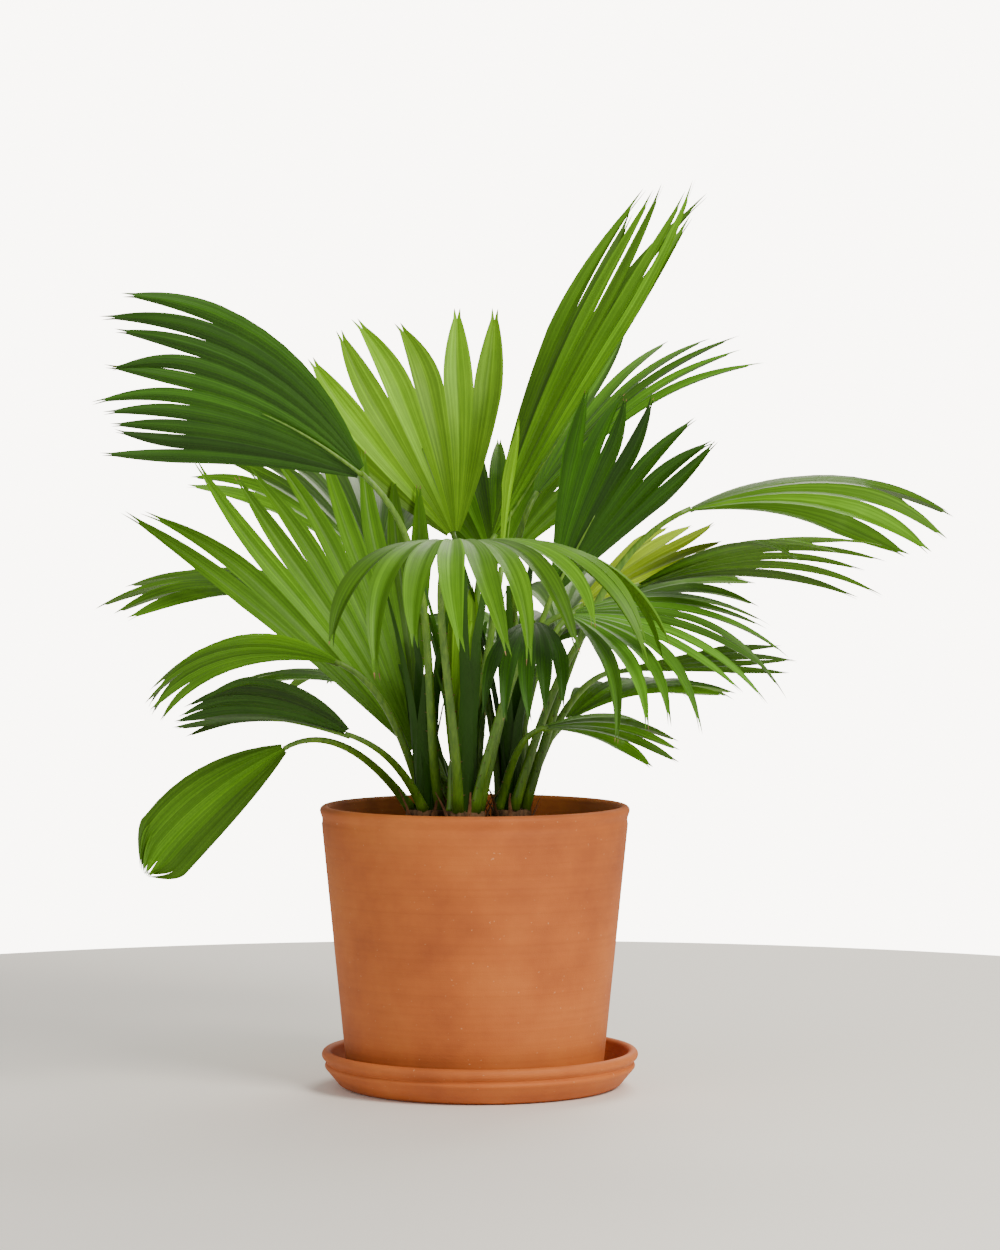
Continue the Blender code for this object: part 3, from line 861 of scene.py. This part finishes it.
def strip(points, faces, slots, root, lean, side, length, width, slot, dice):
    """An upright folded strip: it narrows and bends out to an uneven end."""
    first = len(points)
    for i in range(STRIP_ROWS + 1):
        t = i / STRIP_ROWS
        place = root + Vector((0, 0, 1)) * length * t + lean * length * STRIP_BEND * t * t
        half = side * width / 2 * (1 - STRIP_TAPER * t**1.5)
        ragged = side * dice.uniform(-STRIP_RAGGED, STRIP_RAGGED) * width * t
        cup = lean * width * STRIP_CUP * (1 - t)
        points += [place - half + ragged - cup, place + cup + ragged, place + half + ragged - cup]
    for i in range(STRIP_ROWS):
        a, b = first + i * 3, first + (i + 1) * 3
        faces += [(a, a + 1, b + 1, b), (a + 1, a + 2, b + 2, b + 1)]
        slots += [slot, slot]


def round_stem(number, count, dice):
    """The way out and the way round of one of the strips about a stem."""
    turn = math.tau * (number + dice.uniform(-STRIP_JITTER, STRIP_JITTER)) / count
    return Vector((math.cos(turn), math.sin(turn), 0)), Vector((-math.sin(turn), math.cos(turn), 0))


def stem(number, fibre, husk, young):
    """One short fibrous stem, with torn brown leaf bases round it and young folded leaves on top."""
    dice = random.Random(number + 40)
    x, y = STEM_PLACES[number]
    points, faces, slots = [], [], []
    sides, rows = STEM_SIDES, STEM_ROWS
    foot = SOIL_Z + CLEARANCE
    for row in range(rows + 1):
        t = row / rows
        wide = STEM_TOP_RADIUS + (STEM_FOOT_RADIUS - STEM_TOP_RADIUS) * (1 - t) ** 2
        height = foot + (STEM_TOP_Z - foot) * t
        for i in range(sides):
            turn = math.tau * i / sides
            ridge = STEM_RIDGE * math.sin(turn * STEM_RIDGES + number)
            radius = wide * (1 + ridge + dice.uniform(-0.02, 0.02) - 0.04)
            points.append(Vector((x + radius * math.cos(turn), y + radius * math.sin(turn), height)))
    for row in range(rows):
        for i in range(sides):
            j = (i + 1) % sides
            low, high = row * sides, (row + 1) * sides
            faces.append((low + i, low + j, high + j, high + i))
            slots.append(0)
    faces.append(tuple(range(rows * sides, (rows + 1) * sides)))
    faces.append(tuple(range(sides - 1, -1, -1)))
    slots += [0, 0]
    for i in range(HUSKS):
        lean, side = round_stem(i, HUSKS, dice)
        root = Vector((x, y, foot + HUSK_LIFT)) + lean * STEM_TOP_RADIUS * HUSK_OUT
        length = dice.uniform(*HUSK_LENGTHS)
        strip(points, faces, slots, root, lean, side, length, dice.uniform(*HUSK_WIDTHS), 1, dice)
    for i in range(SPEARS):
        lean, side = round_stem(i, SPEARS, dice)
        out = lean * STEM_SEAT_RADIUS * dice.uniform(0.3, 0.6)
        root = Vector((x, y, STEM_TOP_Z - SPEAR_SUNK)) + out
        length = dice.uniform(*SPEAR_LENGTHS)
        strip(points, faces, slots, root, lean * SPEAR_LEAN, side, length, SPEAR_WIDTH, 2, dice)
    name = f"fibrous_stem_{number + 1}"
    return make_piece(name, points, faces, [fibre, husk, young], slots, [f"stem_{number + 1}"])


def add_floor():
    """A plain pale round floor."""
    material, tree, shader = new_material("floor", FLOOR_ROUGHNESS)
    shader.inputs["Base Color"].default_value = (*FLOOR_COLOUR, 1.0)
    bpy.ops.mesh.primitive_circle_add(
        vertices=FLOOR_SIDES, radius=FLOOR_RADIUS, fill_type="NGON", location=(0, 0, 0)
    )
    floor = bpy.context.object
    floor.name = "floor"
    floor.data.materials.append(material)


def add_light(name, place, target, size, power, colour):
    """A soft square light that faces a point."""
    data = bpy.data.lights.new(name, "AREA")
    data.shape = "SQUARE"
    data.size = size
    data.energy = power
    data.color = colour
    light = bpy.data.objects.new(name, data)
    light.location = place
    light.rotation_euler = (Vector(target) - Vector(place)).to_track_quat("-Z", "Y").to_euler()
    bpy.context.scene.collection.objects.link(light)


def add_world():
    """A pale warm surround, brighter where the camera sees it."""
    world = bpy.data.worlds.new("surround")
    world.use_nodes = True
    tree = world.node_tree
    lit = tree.nodes["Background"]
    lit.inputs["Color"].default_value = (*SURROUND_LIGHT, 1.0)
    lit.inputs["Strength"].default_value = SURROUND_STRENGTH
    seen = tree.nodes.new("ShaderNodeBackground")
    seen.inputs["Color"].default_value = (*BACKDROP_COLOUR, 1.0)
    seen.inputs["Strength"].default_value = BACKDROP_STRENGTH
    both = tree.nodes.new("ShaderNodeMixShader")
    tree.links.new(tree.nodes.new("ShaderNodeLightPath").outputs["Is Camera Ray"], both.inputs["Fac"])
    tree.links.new(lit.outputs["Background"], both.inputs[1])
    tree.links.new(seen.outputs["Background"], both.inputs[2])
    tree.links.new(both.outputs["Shader"], tree.nodes["World Output"].inputs["Surface"])
    bpy.context.scene.world = world


def add_camera():
    """The camera, level, at the photograph's height and distance."""
    data = bpy.data.cameras.new("camera")
    data.sensor_width = SENSOR_LONG_SIDE
    data.lens = SENSOR_LONG_SIDE * FOCAL_PIXELS / IMAGE_LONG_SIDE
    data.shift_y = (LEVEL_LINE - IMAGE_LONG_SIDE / 2) / IMAGE_LONG_SIDE
    camera = bpy.data.objects.new("camera", data)
    camera.location = CAMERA_PLACE
    camera.rotation_euler = (math.radians(90), 0, 0)
    bpy.context.scene.collection.objects.link(camera)
    bpy.context.scene.camera = camera


clay = clay_material("terracotta", *CLAY_COLOURS)
earth = plain_noise_material("soil", *SOIL_COLOURS, 0.95, 240.0, 0.0012)
fibre = plain_noise_material("fibre", *FIBRE_COLOURS, 0.85, 40.0, 0.0010, (6, 6, 1))
husk = plain_noise_material("husk", *HUSK_COLOURS, 0.8, 60.0, 0.0006, (5, 5, 1))
stalk_green = plain_noise_material("stalk", *STALK_COLOURS, 0.46, 30.0, 0.0002, (8, 8, 1))
spine_brown = plain_noise_material("spine", *SPINE_COLOURS, 0.5, 200.0, 0.0001)
dry_tip = plain_noise_material("dry_tip", *DRY_COLOURS, 0.7, 150.0, 0.0002)
greens = {
    tone: [leaf_material(f"leaf_{tone}_{i}", scaled(colour, shade)) for i, shade in enumerate(SHADES)]
    for tone, colour in TONES.items()
}
saucer(clay)
pot(clay)
soil(earth)
feet = {}
for stem_number in range(len(STEM_PLACES)):
    # The young folded leaves take the dark leaf green, which is painted shade
    stem(stem_number, fibre, husk, greens["deep"][1])
    feet.update(seats(stem_number))
for one in FRONDS:
    petiole(one, feet[one.name], stalk_green, spine_brown)
    blade(one, greens[FROND_TONES.get(one.name, "mid")], dry_tip)
add_floor()
add_world()
add_light("key", (2.2, -2.4, 2.6), (0.0, 0.0, 0.45), 1.5, 175.0, (1.0, 0.95, 0.84))
add_light("fill", (-2.6, -2.2, 1.5), (0.0, 0.0, 0.5), 2.2, 26.0, (1.0, 0.98, 0.94))
add_light("back", (0.9, 2.6, 2.4), (0.0, 0.0, 0.6), 1.6, 75.0, (1.0, 0.97, 0.86))
add_camera()
